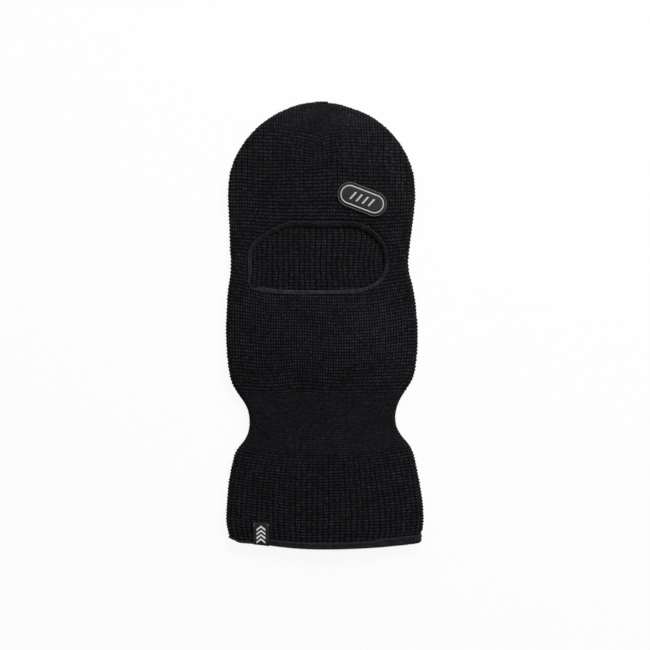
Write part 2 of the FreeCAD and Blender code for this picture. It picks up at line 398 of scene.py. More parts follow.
def lattice(rings, count, first=0, closed=False):
    """Quads between rings of points stored one after another; closed joins the last ring to the first."""
    j, i = np.meshgrid(np.arange(rings if closed else rings - 1), np.arange(count), indexing="ij")
    after, beside = (j + 1) % rings, (i + 1) % count
    quads = np.stack([j * count + i, j * count + beside, after * count + beside, after * count + i], -1)
    return first + quads.reshape(-1, 4)


def flat_ends(rings, count, first=0):
    """The faces that close the first and the last ring."""
    ring = first + np.arange(count)[None]
    return [ring[:, ::-1], ring + (rings - 1) * count]


def patchy(shape, cell, rng):
    """Smooth random values from -1 to 1 over a grid, with a new one about every cell steps."""
    rows, columns = shape
    coarse = rng.uniform(-1, 1, (rows // cell[0] + 3, columns // cell[1] + 3))
    y, x = np.arange(rows) / cell[0], np.arange(columns) / cell[1]
    j, i = y.astype(int), x.astype(int)
    fy, fx = ease(y - j)[:, None], ease(x - i)[None]
    top = coarse[j][:, i] * (1 - fx) + coarse[j][:, i + 1] * fx
    low = coarse[j + 1][:, i] * (1 - fx) + coarse[j + 1][:, i + 1] * fx
    return top * (1 - fy) + low * fy


# ------------ knit

def stitches(a, b, groove, gap):
    """Heights over the rib at mesh column a and row b: two leaning legs to each stitch, with a deep valley
    between ribs that gap narrows, and a groove between the two legs that is groove of the way up."""
    lean = np.array([0.6, 0.2, -0.2, -0.6])[b]
    swell = np.array([0.2, 0.8, 1.0, 0.7])[b]
    from_left = np.where(a <= 4, a, 8 - a)
    height = np.maximum(1 - ((from_left - 2 - lean) / 2) ** 2, 0)
    height = np.where(from_left >= 3, np.maximum(height, groove), height)
    return height * np.where(from_left == 1, gap, 1.0) * swell


def rows_of_knit():
    """For every mesh row from the hem up: its Y at the sides, its course number and its zone."""
    zones = (("skirt", HEM_LOW_Y + 7.3, BAND_LOW_Y), ("band", BAND_LOW_Y, MID_Y), ("hood", MID_Y, TOP_Y + 4))
    levels, zone_of = [zones[0][1]], []
    for zone, low, high in zones:
        courses = round((high - low) / COURSE[zone])
        step = (high - low) / (courses * PER_COURSE)
        levels += list(low + step * np.arange(1, courses * PER_COURSE + 1))
        zone_of += [zone] * (courses * PER_COURSE)
    return np.array(levels), np.array(zone_of + ["hood"])


LEVELS, ZONE = rows_of_knit()


BOW_Y = (HEM_LOW_Y, -205.0, BAND_LOW_Y, -104.0, MID_Y)
BOW = (5.6, 5.6, BAND_BOW, 6.0, 0.0)


def bow(y):
    """How much lower a row lies in the middle than at the sides."""
    return np.interp(y, BOW_Y, BOW)


def dart_x(y):
    """The line of the crown's front dart, which leans a little to the left as it comes down."""
    return -1.0 - (TOP_Y - y) * 0.22


def knit_grid():
    """Unfolded X and Y of every mesh point of the front layer."""
    rng = np.random.default_rng(SEED)
    u = np.linspace(0, 1, COLUMNS + 1)[None, :]
    level = LEVELS[:, None]
    middle = 1 - (2 * u - 1) ** 2
    quiet = np.minimum(middle * 4, 1)
    closer = FOREHEAD_GATHER * ease((level - 95) / 25)
    x = across(u + closer * np.sin(2 * math.pi * u ** 0.75) / (2 * math.pi), level)
    stretch = SKIRT_STRETCH * ease((BAND_LOW_Y + 15 - level) / 30)
    x = x + stretch * (x - across(0.5, level)) * middle
    sag = np.interp(level, SAG_Y, SAG) * np.exp(-(x / 72) ** 4)
    y = level - bow(level) * middle - sag
    above = ease((level - CROWN_Y - 35) / 55)
    away = x - dart_x(y)
    x = x - away * 0.45 * above * np.exp(-(away / 26) ** 2)
    y = y - 8.0 * ease((level - CROWN_Y - 15) / 45) * np.exp(-np.abs(away) / 20)
    shape = x.shape
    x = x + quiet * (0.9 * patchy(shape, (90, 50), rng) + 0.22 * patchy(shape, (6, 8), rng))
    y = y + quiet * (1.6 * patchy(shape, (60, 60), rng) + 0.25 * patchy(shape, (6, 8), rng))
    return x, y


def back_grid(x, y, inside):
    """The same for the back layer, from the front one's and how far those points are inside the edge."""
    free = ease(inside / 20)
    middle, half = (right(y) + left(y)) / 2, (right(y) - left(y)) / 2
    away = x - middle
    wider = BACK_STRETCH * away * np.maximum(1 - (away / half) ** 2, 0)
    return x + free * wider, y + free * np.interp(y, BACK_Y, BACK_SHIFT)


# How the rib looks up the tube: (Y, groove between legs, gap beside the valley)
RIB_LOOK = ((-223, 0.75, 0.5), (-130, 0.6, 0.7), (-115, 0.3, 0.95), (-70, 0.25, 0.95), (-62, 0.15, 0.95),
            (20, 0.15, 0.95), (105, 0.35, 0.9), (150, 0.6, 0.75), (185, 0.6, 0.7), (205, 0.2, 0.95))
INSIDE_LOOK = (0.65, 0.5)


def knit_relief():
    """Heights of the outer and the inner face over the mesh, each from 0 to about 1."""
    rng = np.random.default_rng(SEED + 1)
    rows, columns = len(LEVELS), COLUMNS + 1
    b = (np.arange(rows) % PER_COURSE)[:, None]
    look = np.array(RIB_LOOK)
    groove = np.interp(LEVELS, look[:, 0], look[:, 1])[:, None]
    gap = np.interp(LEVELS, look[:, 0], look[:, 2])[:, None]
    gathered = ease((LEVELS - TOP_Y + 34) / 16)[:, None]
    faces = []
    for shift, g, h in ((0, groove, gap), (PER_RIB // 2, *INSIDE_LOOK)):
        a = ((np.arange(columns) + FOLD_PHASE + shift) % PER_RIB)[None, :]
        height = stitches(a, b, g, h)
        cord = stitches(a, np.full_like(b, 2), g, h) * 0.85
        height = height * (1 - 0.6 * gathered) + cord * 0.6 * gathered
        legs = rng.uniform(0.66, 1.1, (rows // PER_COURSE + 1, columns // 4 + 2))
        faces.append(height * np.repeat(np.repeat(legs, PER_COURSE, 0)[:rows], 4, 1)[:, 2:columns + 2])
    return faces


def loop_inside(loop, x, y):
    """Whether points lie inside a closed line."""
    inside = np.zeros(x.shape, bool)
    for (x0, y0), (x1, y1) in zip(loop, np.roll(loop, -1, 0)):
        spans = (y0 > y) != (y1 > y)
        inside ^= spans & (x < x0 + (y - y0) * (x1 - x0) / (y1 - y0 + 1e-12))
    return inside


def shade(height):
    """What the yarn's colour goes by: the height, so that the valleys between the stitches get painted shade,
    but more even where the knit is fine.
    """
    even = np.interp(LEVELS, [BAND_LOW_Y - 5, BAND_LOW_Y + 3, MID_Y - 1, MID_Y + 3, TOP_Y - 28, TOP_Y - 16],
                     [0, 0.45, 0.45, 0, 0, 0.25])[:, None]
    return height + (0.42 - height) * even


# Painted light and shade on the yarn, in broad patches: (X, Y), (reach in X, in Y) and how much
PAINTED_LIGHT_AND_SHADE = (((-10, 118), (75, 26), 0.2), ((62, -5), (40, 55), 0.2), ((0, -95), (200, 22), -0.09),
           ((0, -160), (60, 30), -0.08), ((-60, 150), (35, 35), -0.1), ((-8, 200), (16, 10), -0.22))
RIM_LIGHT, RIM_LIGHT_REACH = 0.25, 11.0       # painted rim light along the folds of the crown and of the right side


def lighter(x, y, inside):
    """What the yarn's colour is multiplied by: painted light and shade in broad patches, and painted rim light
    along the folds; inside is None for the back layer, which has no painted rim light.
    """
    gain = np.ones(x.shape)
    if inside is not None:
        lit = np.maximum(ease((y - 60) / 70), 0.6 * ease((x - 20) / 60))
        gain += RIM_LIGHT * lit * np.exp(-inside / RIM_LIGHT_REACH)
    for (mx, my), (wide, tall), extra in PAINTED_LIGHT_AND_SHADE:
        gain += extra * np.exp(-((x - mx) / wide) ** 2 - ((y - my) / tall) ** 2)
    return gain


LEAST_INSIDE = 0.25         # mesh points nearer the edge than this, or outside it, are left out


def kept_quads(inside, level):
    """Quads of the front layer inside the outline, the points they use, and those where the layers meet."""
    count, columns = inside.shape
    sides = np.zeros(inside.shape, bool)
    sides[:, [0, -1]] = True
    use = (inside > LEAST_INSIDE) | (sides & (level <= CROWN_Y))
    kept = use[:-1, :-1] & use[1:, :-1] & use[:-1, 1:] & use[1:, 1:]
    around = np.zeros(inside.shape, int)
    for dj in (0, 1):
        for di in (0, 1):
            around[dj:count - 1 + dj, di:columns - 1 + di] += kept
    rim = (around > 0) & (around < 4)
    rim[[0, -1]] = sides[[0, -1]] & (around[[0, -1]] > 0)
    if level.max() >= CROWN_Y:
        rim[-1] = around[-1] > 0
    return kept, around > 0, rim


def relief_depth(rows):
    """How deep the relief is on each row, eased where one zone meets the next."""
    depth = np.array([DEPTH[z] for z in ZONE[rows]])
    for edge, low, high in ((BAND_LOW_Y, "skirt", "band"), (MID_Y, "band", "hood")):
        blend = ease((LEVELS[rows] - edge + 4) / 8)
        close = np.abs(LEVELS[rows] - edge) < 4
        depth[close] = (DEPTH[low] * (1 - blend) + DEPTH[high] * blend)[close]
    return depth[:, None]


def closed_faces(skin, total):
    """The outer face, the inner one, whose points come total later, and walls along the open edges."""
    a, b = skin.ravel(), np.roll(skin, -1, 1).ravel()
    alone = ~np.isin(a * total + b, b * total + a)
    a, b = a[alone], b[alone]
    walls = np.stack([b, a, a + total, b + total], 1)
    return np.concatenate([skin, skin[:, ::-1] + total, walls])


def knit_piece(name, rows, x, y, reliefs, hole, material):
    """A closed mesh of some rows of the knit: both layers, their outer and inner faces, and the ends."""
    x, y = x[rows], y[rows]
    inside, _ = near_edge(x.ravel(), y.ravel())
    inside = inside.reshape(x.shape)
    kept, used, rim = kept_quads(inside, LEVELS[rows][:, None])
    inside = np.where(rim, 0.0, np.maximum(inside, 0.0))

    front_id = np.full(x.shape, -1)
    front_id[used] = np.arange(used.sum())
    back_id = np.where(rim, front_id, -1)
    free = used & ~rim
    back_id[free] = used.sum() + np.arange(free.sum())
    total = used.sum() + free.sum()

    depth = relief_depth(rows)
    outer, inner = np.zeros((total, 3)), np.zeros((total, 3))
    relief = np.zeros((2, total))
    behind_x, behind_y = back_grid(x, y, inside)
    layers = ((1, front_id, used, x, y, inside), (-1, back_id, free, behind_x, behind_y, None))
    for side, ids, mask, px, py, within in layers:
        points, normal = fold(px[mask], py[mask], side, None if within is None else within[mask])
        up_out = (reliefs[0][rows] * depth)[mask]
        up_in = (reliefs[1][rows] * depth)[mask]
        deep = (depth * np.ones(x.shape))[mask]
        where = ids[mask]
        outer[where] = points + normal * (up_out - deep)[:, None]
        inner[where] = points - normal * (KNIT - deep + up_in)[:, None]
        for face in (0, 1):
            # The colour attribute: painted shade from the stitch heights, times the painted light and shade
            # patches and the painted rim light.
            relief[face, where] = (shade(reliefs[face])[rows] * lighter(px, py, within))[mask]

    def quads(ids, keep):
        grid = np.stack([ids[:-1, :-1], ids[:-1, 1:], ids[1:, 1:], ids[1:, :-1]], -1)
        return grid[keep]

    cut = np.zeros(kept.shape, bool)
    if hole is not None:
        cx = (x[:-1, :-1] + x[1:, 1:]) / 2
        cy = (y[:-1, :-1] + y[1:, 1:]) / 2
        cut = loop_inside(hole, cx, cy)
    skin = np.concatenate([quads(front_id, kept & ~cut), quads(back_id, kept)[:, ::-1]])
    points = np.concatenate([outer, inner])
    relief = relief.ravel()
    seen, faces = np.unique(closed_faces(skin, total), return_inverse=True)
    return make(name, points[seen], faces.reshape(-1, 4), material, relief=relief[seen])


# ------------ trim

def surface(x, y, side=1, height=0.0):
    """Points on a layer's outer face, or some height above it, at places given as seen from above."""
    x, y = np.broadcast_arrays(np.asarray(x, float), np.asarray(y, float))
    points = np.stack([x.ravel(), y.ravel()], 1)
    k = nearest(points, EDGE)
    out = EDGE_OUT[k]
    depth = np.maximum(((EDGE[k] - points) * out).sum(1), 0)
    turned = np.arccos(1 - np.minimum(depth, RIM) / RIM) * RIM
    inside = np.where(depth < RIM, turned, depth - RIM + QUARTER)
    flat = points + out * (depth + SPREAD - inside)[:, None]
    placed, normal = fold(flat[:, 0], flat[:, 1], side)
    height = np.broadcast_to(height, x.shape).ravel()
    return placed + normal * height[:, None]


def sweep(name, grid, material, closed, **attributes):
    """A tube through rings of points: grid is rings by points by XYZ; open tubes get flat ends."""
    rings, count = grid.shape[:2]
    faces = [lattice(rings, count, closed=closed)]
    if not closed:
        faces += flat_ends(rings, count)
    return make(name, grid.reshape(-1, 3), faces, material, **attributes)


def joined_sweeps(name, grids, material):
    """Several open tubes as one mesh."""
    points, quads, ends, first = [], [], [], 0
    for grid in grids:
        rings, count = grid.shape[:2]
        quads.append(lattice(rings, count, first))
        ends += flat_ends(rings, count, first)
        points.append(grid[:, ::-1].reshape(-1, 3))
        first += rings * count
    return make(name, np.concatenate(points), quads + ends, material)


def joined_stitches(name, spans, width, height, material):
    """Short straight stitches between pairs of places on the front layer, as one mesh."""
    grids = []
    for (x0, y0), (x1, y1) in spans:
        t = np.linspace(0, 1, 9)
        x, y = x0 + (x1 - x0) * t, y0 + (y1 - y0) * t
        size = np.sqrt(np.maximum(1 - (2 * t - 1) ** 2, 0.04))
        along = np.array([x1 - x0, y1 - y0]) / math.hypot(x1 - x0, y1 - y0)
        rings = []
        for a in np.linspace(0, 2 * math.pi, 8, endpoint=False):
            off = width / 2 * math.cos(a) * size
            rise = height + 0.35 * math.sin(a) * size - 0.5 * (1 - size)
            rings.append(surface(x - along[1] * off, y + along[0] * off, 1, rise))
        grids.append(np.stack(rings, 1))
    return joined_sweeps(name, grids, material)


def beads(name, path, material, length, width, height, gap=0.0, closed=True, slant=0.0):
    """A row of stitches: small rounded lumps that follow a path of points and normals."""
    place, normal = path
    run = resample(np.hstack([place, normal]), length + gap, closed)
    centre, up = run[:, :3], run[:, 3:]
    up /= np.linalg.norm(up, axis=1, keepdims=True)
    ahead = directions(centre, closed)
    ahead -= up * (ahead * up).sum(1, keepdims=True)
    ahead /= np.linalg.norm(ahead, axis=1, keepdims=True)
    across_ = np.cross(up, ahead)
    c, s = math.cos(slant), math.sin(slant)
    ahead, across_ = ahead * c + across_ * s, across_ * c - ahead * s
    lat = np.linspace(-math.pi / 2, math.pi / 2, 7)[1:-1]
    lon = np.linspace(0, 2 * math.pi, 8, endpoint=False)
    shape = [(-1.0, 0.0, 0.0)]
    shape += [(math.sin(a), math.cos(a) * math.cos(b), math.cos(a) * math.sin(b)) for a in lat for b in lon]
    shape += [(1.0, 0.0, 0.0)]
    shape = np.array(shape) * [length / 2 * 1.12, width / 2, height / 2]
    points = (centre[:, None] + shape[None, :, :1] * ahead[:, None] + shape[None, :, 1:2] * across_[:, None]
              + shape[None, :, 2:] * up[:, None])
    faces3, faces4 = [], []
    last = len(shape) - 1
    for i in range(8):
        n = (i + 1) % 8
        faces3 += [(0, 1 + n, 1 + i), (last, last - 8 + i, last - 8 + n)]
        faces4 += [(1 + 8 * k + i, 1 + 8 * k + n, 9 + 8 * k + n, 9 + 8 * k + i) for k in range(4)]
    shift = np.arange(len(centre))[:, None, None] * len(shape)
    faces = [(np.array(f)[None] + shift).reshape(-1, np.array(f).shape[1]) for f in (faces3, faces4)]
    return make(name, points.reshape(-1, 3), faces, material)


def lifted(x, y, side=1, height=0.0):
    """A path on the surface with its normals, for beads."""
    base = surface(x, y, side, height)
    return base, surface(x, y, side, height + 1.0) - base


# ------------ materials

def feed(tree, socket, value):
    """Links a node's output to a socket, or sets the socket's own value."""
    if isinstance(value, bpy.types.NodeSocket):
        tree.links.new(value, socket)
    else:
        socket.default_value = value


def shader(name, roughness, specular, sheen=0.0):
    material = bpy.data.materials.new(name)
    material.use_nodes = True
    tree = material.node_tree
    base = tree.nodes["Principled BSDF"]
    for key, value in (("Roughness", roughness), ("Specular IOR Level", specular),
                       ("Sheen Weight", sheen), ("Sheen Roughness", 0.5)):
        base.inputs[key].default_value = value
    return material, tree, base


def add(tree, kind, inputs=(), **settings):
    node = tree.nodes.new(kind)
    for key, value in settings.items():
        setattr(node, key, value)
    for key, value in dict(inputs).items():
        feed(tree, node.inputs[key], value)
    return node


TINT = (0.96, 0.985, 1.14)
NEUTRAL = (1.0, 1.0, 1.0)


def grey(value, tint=NEUTRAL):
    return (value * tint[0], value * tint[1], value * tint[2], 1.0)


def noise(tree, scale, detail=2.0):
    """Noise through a piece's own space, with scale features to a metre."""
    place = add(tree, "ShaderNodeTexCoord").outputs["Object"]
    return add(tree, "ShaderNodeTexNoise", {"Vector": place, "Scale": scale, "Detail": detail})


def ramp(tree, factor, stops, tint=TINT):
    node = add(tree, "ShaderNodeValToRGB", {"Fac": factor})
    marks = node.color_ramp.elements
    marks[0].position, marks[0].color = stops[0][0], grey(stops[0][1], tint)
    marks[1].position, marks[1].color = stops[-1][0], grey(stops[-1][1], tint)
    for position, value in stops[1:-1]:
        marks.new(position).color = grey(value, tint)
    return node.outputs["Color"]


def bump(tree, base, height, distance, strength=1.0):
    node = add(tree, "ShaderNodeBump", {"Height": height, "Distance": distance, "Strength": strength})
    tree.links.new(node.outputs["Normal"], base.inputs["Normal"])


def math_node(tree, operation, a, b=0.0):
    node = add(tree, "ShaderNodeMath", operation=operation)
    for socket, value in zip(node.inputs, (a, b)):
        feed(tree, socket, value)
    return node.outputs[0]


def attribute(tree, name):
    return add(tree, "ShaderNodeAttribute", attribute_name=name).outputs["Fac"]


def multiplied(tree, colour, factor):
    mixed = add(tree, "ShaderNodeMix", data_type="RGBA", blend_type="MULTIPLY")
    mixed.inputs["Factor"].default_value = 1.0
    tree.links.new(colour, mixed.inputs[6])
    tree.links.new(factor, mixed.inputs[7])
    return mixed.outputs[2]


def mottled(tree, colour, scale, low, high):
    """A colour made darker and lighter in patches."""
    patches = ramp(tree, noise(tree, scale).outputs["Fac"], [(0.3, low), (0.7, high)], NEUTRAL)
    return multiplied(tree, colour, patches)


def knit_material():
    """Black wool-like yarn: painted shade darkening the valleys between the stitches, slightly uneven, with a
    soft fibrous bump.
    """
    material, tree, base = shader("rib_knit", 0.85, 0.04, 0.02)
    fibre = noise(tree, 2400.0).outputs["Fac"]
    # The relief attribute carries painted shade in the valleys between stitches, broad painted light and shade
    # patches, and painted rim light.
    tone = ramp(tree, attribute(tree, "relief"),
                [(0.0, 0.0003), (0.15, 0.001), (0.4, 0.0054), (0.7, 0.0108), (1.0, 0.0195)])
    tone = mottled(tree, tone, 380.0, 0.5, 1.55)
    tone = mottled(tree, tone, 60.0, 0.84, 1.18)
    tree.links.new(tone, base.inputs["Base Color"])
    bump(tree, base, fibre, 0.00035, 0.7)
    return material


def jersey_material():
    """Fine smooth knit of the bindings."""
    material, tree, base = shader("binding", 0.75, 0.1, 0.03)
    rows = math_node(tree, "SINE", math_node(tree, "MULTIPLY", attribute(tree, "along"), 2 * math.pi / 1.1))
    wales = math_node(tree, "SINE", math_node(tree, "MULTIPLY", attribute(tree, "around"), 2 * math.pi / 1.2))
    weave = math_node(tree, "MULTIPLY", rows, wales)
    tone = ramp(tree, math_node(tree, "ADD", math_node(tree, "MULTIPLY", weave, 0.5), 0.5),
                [(0.0, 0.0045), (1.0, 0.011)])
    tone = mottled(tree, mottled(tree, tone, 450.0, 0.15, 2.0), 110.0, 0.66, 1.4)
    # The lightness attribute carries painted light and shade on the face binding.
    tone = multiplied(tree, tone, attribute(tree, "lightness"))
    tree.links.new(tone, base.inputs["Base Color"])
    lumps = noise(tree, 430.0, 1.0).outputs["Fac"]
    height = math_node(tree, "ADD", lumps, math_node(tree, "MULTIPLY", weave, 0.12))
    bump(tree, base, height, 0.0024, 0.9)
    return material


def plain_material(name, value, roughness, specular, bump_scale, bump_size, tint=NEUTRAL):
    material, tree, base = shader(name, roughness, specular)
    spots = noise(tree, bump_scale).outputs["Fac"]
    tone = ramp(tree, spots, [(0.3, value * 0.85), (0.7, value * 1.12)], tint)
    tree.links.new(tone, base.inputs["Base Color"])
    bump(tree, base, spots, bump_size, 0.6)
    return material


def rubber_material():
    """Moulded rubber, dark round the edge of the patch and lighter inside its border."""
    material, tree, base = shader("patch_rubber", 0.55, 0.35)
    tone = ramp(tree, attribute(tree, "field"), [(0.45, 0.003), (0.55, 0.0125)], NEUTRAL)
    tone = mottled(tree, tone, 500.0, 0.85, 1.15)
    tree.links.new(tone, base.inputs["Base Color"])
    bump(tree, base, noise(tree, 900.0).outputs["Fac"], 0.00005, 0.6)
    return material


# ------------ build

KNIT_BLACK = knit_material()
JERSEY = jersey_material()
THREAD = plain_material("thread", 0.012, 0.6, 0.3, 2500.0, 0.0001, TINT)
PALE = plain_material("pale_thread", 0.12, 0.7, 0.3, 2500.0, 0.0001)
RUBBER = rubber_material()
LINE = plain_material("patch_line", 0.4, 0.5, 0.35, 900.0, 0.00004)
TAPE = plain_material("label_tape", 0.0085, 0.7, 0.2, 1800.0, 0.00012)
PRINT = plain_material("label_print", 0.55, 0.7, 0.3, 1800.0, 0.00012)


def build_knit():
    """The hood, the neck band and the neck skirt, cut from one grid so that they meet exactly."""
    x, y = knit_grid()
    reliefs = knit_relief()
    first_band, first_hood = np.argmax(ZONE == "band"), np.argmax(ZONE == "hood")
    hole = (OUTER_LOOP + INWARD * LIP_WIDTH / 2)[::3]
    hood = knit_piece("knit_hood", slice(first_hood, None), x, y, reliefs, hole, KNIT_BLACK)
    band = knit_piece("knit_neck_band", slice(first_band, first_hood + 1), x, y, reliefs, None, KNIT_BLACK)
    skirt = knit_piece("knit_neck_skirt", slice(0, first_band + 1), x, y, reliefs, None, KNIT_BLACK)
    return hood, band, skirt


BINDING_DROP, BINDING_HALF = 1.5, 1.9       # how far its middle is below the lip, and half its thickness


def build_binding():
    """The jersey tube round the face opening."""
    angles = np.linspace(0, 2 * math.pi, 32, endpoint=False)
    middle = -BINDING_DROP - LIP_TUCK_DEPTH * LIP_TUCKED
    rings = []
    for angle in angles:
        place = OUTER_LOOP + INWARD * LIP_WIDTH / 2 * (1 - math.cos(angle))
        rings.append(surface(place[:, 0], place[:, 1], 1, middle + BINDING_HALF * math.sin(angle)))
    grid = np.stack(rings, 1)
    step = np.linalg.norm(np.diff(np.vstack([grid[:, 0], grid[:1, 0]]), axis=0), axis=1)
    along = np.repeat(np.cumsum(step), len(angles))
    around = np.tile(angles * BINDING_WIDTH / 2, len(grid))
    # Painted light and shade on the tube: lighter along the bottom of the opening, and darker on its inner half
    # at the two places where the lip turns in steeply.
    inner_half = ease((0.35 - np.cos(angles)) / 0.9)[None, :]
    lightness = 1.15 + 0.85 * np.maximum(INWARD[:, 1:], 0) - 0.55 * inner_half * LIP_TURNED[:, None]
    lightness = np.maximum(lightness, 0.3).ravel()
    return sweep("face_binding_tube", grid, JERSEY, True, along=along, around=around, lightness=lightness)


def hem_low(x):
    """The hem's lower edge, which is drawn up a little round the label and at the left corner."""
    drawn_up = 1.9 * np.exp(-((x + 68) / 30) ** 2) + 3.4 * ease((-83 - x) / 12)
    return HEM_LOW_Y + HEM_RISE * (x / HEM_REACH) ** 2 + drawn_up


def hem_depth(x):
    """How much of the strip shows on one face: less to the left of the label, where it has rolled under."""
    return HEM_DEPTH - 4.3 * ease((-56 - x) / 14) + 1.6 * ease((x - 40) / 25)


def hem_lump(x):
    """Extra thickness where the two ends of the strip overlap at the right corner."""
    return ease((x - 85) / 5) * (0.45 + 0.22 * np.sin(1.7 * x) + 0.12 * np.sin(4.3 * x))


def hem_round(count):
    """Unfolded X, shares and sides of points all the way round the mouth: front, then back."""
    u = np.linspace(0, 1, count)
    return np.concatenate([u, u[-2:0:-1]]), np.concatenate([np.ones(count), -np.ones(count - 2)])


def hem_point(u, side, up, height):
    """Points of the hem at a distance up from its lower edge and a height above the knit."""
    level = HEM_LOW_Y + 9.0
    x = across(u, np.full(len(u), level))
    tooth = np.sin(2 * math.pi * x / HEM_TOOTH + 1.5 * np.sin(x / 9))
    y = hem_low(x) + up * hem_depth(x) / HEM_DEPTH + 0.35 * tooth * (up < 1.7)
    height = height + np.sign(height + 1.6) * (hem_lump(x) + 0.16 * tooth) * (up < 5.9)
    out = np.zeros((len(u), 3))
    for way in (1, -1):
        mask = side == way
        ends = (u[mask] == 0) | (u[mask] == 1)
        inside, _ = near_edge(x[mask], y[mask])
        placed, normal = fold(x[mask], y[mask], way, np.where(ends, 0.0, np.maximum(inside, 0)))
        out[mask] = placed + normal * height[mask][:, None]
    out[:, 2] = np.maximum(out[:, 2], 0.05 + 0.15 * np.abs(height + 1.6) / 2.4)
    return out


# The hem's strip in section: (distance up from its lower edge, height above the knit)
HEM_SECTION = [(6.0, 0.1), (5.6, 0.7), (5.1, 0.9), (4.5, 0.6), (3.7, 0.35), (2.9, 0.6), (2.2, 0.85),
               (1.5, 0.5), (0.7, -0.3), (0.1, -1.6), (0.7, -2.9), (1.6, -3.65), (2.8, -4.0),
               (4.0, -4.05), (5.0, -4.0), (5.6, -3.8), (6.0, -3.3)]


def build_hem():
    """The strip bound round the mouth, and the row of stitches along its upper edge."""
    u, side = hem_round(300)
    rings = [hem_point(u, side, up, height) for up, height in HEM_SECTION]
    grid = np.stack(rings, 1)[:, ::-1]
    along = np.repeat(np.arange(len(u)) * 0.65, len(HEM_SECTION))
    around = np.tile(np.arange(len(HEM_SECTION)) * 1.2, len(u))
    lightness = np.full(len(along), 1.1)
    band = sweep("hem_binding", grid, JERSEY, True, along=along, around=around, lightness=lightness)
    place = hem_point(u, side, 6.3, 0.15)
    normal = hem_point(u, side, 6.3, 1.15) - place
    seam = beads("hem_stitches", (place, normal), THREAD, 2.0, 0.9, 0.8, 0.1)
    return band, seam


PATCH_RADIUS, PATCH_HALF_STRAIGHT = 12.2, 13.3


def stadium(inset, count):
    """A pill outline of the patch less inset, in the patch's own X and Y."""
    r, s = PATCH_RADIUS - inset, PATCH_HALF_STRAIGHT
    straight, bend = 2 * s, math.pi * max(r, 1e-3)
    marks = np.linspace(0, 2 * straight + 2 * bend, count, endpoint=False)
    out = []
    for m in marks:
        if m < straight:
            out.append((-s + m, -r))
        elif m < straight + bend:
            a = -math.pi / 2 + (m - straight) / max(r, 1e-3)
            out.append((s + r * math.cos(a), r * math.sin(a)))
        elif m < 2 * straight + bend:
            out.append((s - (m - straight - bend), r))
        else:
            a = math.pi / 2 + (m - 2 * straight - bend) / max(r, 1e-3)
            out.append((-s + r * math.cos(a), r * math.sin(a)))
    return np.array(out)


PATCH_CENTRE, PATCH_TILT = (37.3, 125.0), math.radians(-21)


def on_patch(points):
    """X and Y of places given in the patch's own X and Y."""
    c, s = math.cos(PATCH_TILT), math.sin(PATCH_TILT)
    return (PATCH_CENTRE[0] + points[:, 0] * c - points[:, 1] * s,
            PATCH_CENTRE[1] + points[:, 0] * s + points[:, 1] * c)


def stadium_rings(profile, count=160):
    rings = []
    for inset, height in profile:
        x, y = on_patch(stadium(inset, count))
        rings.append(surface(x, y, 1, height))
    return np.stack(rings, 1)


def bar_section(half):
    """A low flat bar in section, as distance across it and height, from its first half."""
    return half + [(-off, height) for off, height in half[::-1]]


def build_patch():
    """The moulded plate, its raised border line, the stitches round its edge and its four raised bars."""
    plate_profile = [(0.0, -0.6), (0.0, 0.7), (0.2, 0.95), (0.5, 1.05), (1.1, 1.0), (2.0, 1.0), (3.0, 1.0),
                     (3.5, 1.2), (7.0, 1.2), (11.9, 1.2)]
    grid = stadium_rings(plate_profile).transpose(1, 0, 2)
    rings, count = grid.shape[:2]
    bottom, top = flat_ends(rings, count)
    field = np.repeat([1.0 if inset > 3.0 else 0.0 for inset, _ in plate_profile], count)
    faces = [lattice(rings, count), top, bottom]
    base = make("patch_plate", grid.reshape(-1, 3), faces, RUBBER, field=field)
    border_profile = [(2.9, 1.1), (2.95, 1.5), (3.15, 1.6), (3.85, 1.6), (4.05, 1.5), (4.1, 1.1)]
    border = sweep("patch_border_line", stadium_rings(border_profile)[:, ::-1], LINE, True)
    x, y = on_patch(stadium(0.45, 300))
    stitches = beads("patch_stitches", lifted(x, y, 1, 1.05), PALE, 2.2, 0.5, 0.5, 0.3)
    bars = []
    t = np.linspace(-1, 1, 17)
    for middle in (-9.75, -3.25, 3.25, 9.75):
        rings = []
        for off, height in bar_section([(1.0, 1.1), (0.95, 1.5), (0.75, 1.6)]):
            x, y = on_patch(np.stack([middle + 1.6 * t - off, 4.2 * t], 1))
            rings.append(surface(x, y, 1, height))
        bars.append(np.stack(rings, 1))
    motif = joined_sweeps("patch_bars", bars, LINE)
    return base, border, stitches, motif


# The label's tape in section: (distance up from the hem's edge, height above the knit)
TAPE_PATH = ((22.3, 0.15), (22.1, 0.5), (21.0, 0.7), (16.0, 0.7), (9.0, 0.75), (7.0, 1.0), (5.5, 1.35),
             (4.0, 1.4), (2.8, 1.35), (1.3, 0.95), (0.2, 0.0), (-0.5, -1.6), (0.2, -3.2), (1.3, -4.2),
             (2.8, -4.55), (5.5, -4.6), (7.5, -4.3), (10.0, -3.8), (21.5, -3.7))
TAPE_LEFT, TAPE_WIDTH, TAPE_THICK = -71.0, 15.5, 0.45
CHEVRON_TOPS = (-200.8, -204.9, -209.0, -213.1)
CHEVRON_HALF, CHEVRON_FALL = 4.4, 3.4
TACK_ENDS = (-197.7, -201.3)


def tape_height(up):
    """Height of the tape's front face above the knit at a distance up from the hem."""
    front = np.array(TAPE_PATH[1:9])[::-1]
    return np.interp(up, front[:, 0], front[:, 1])


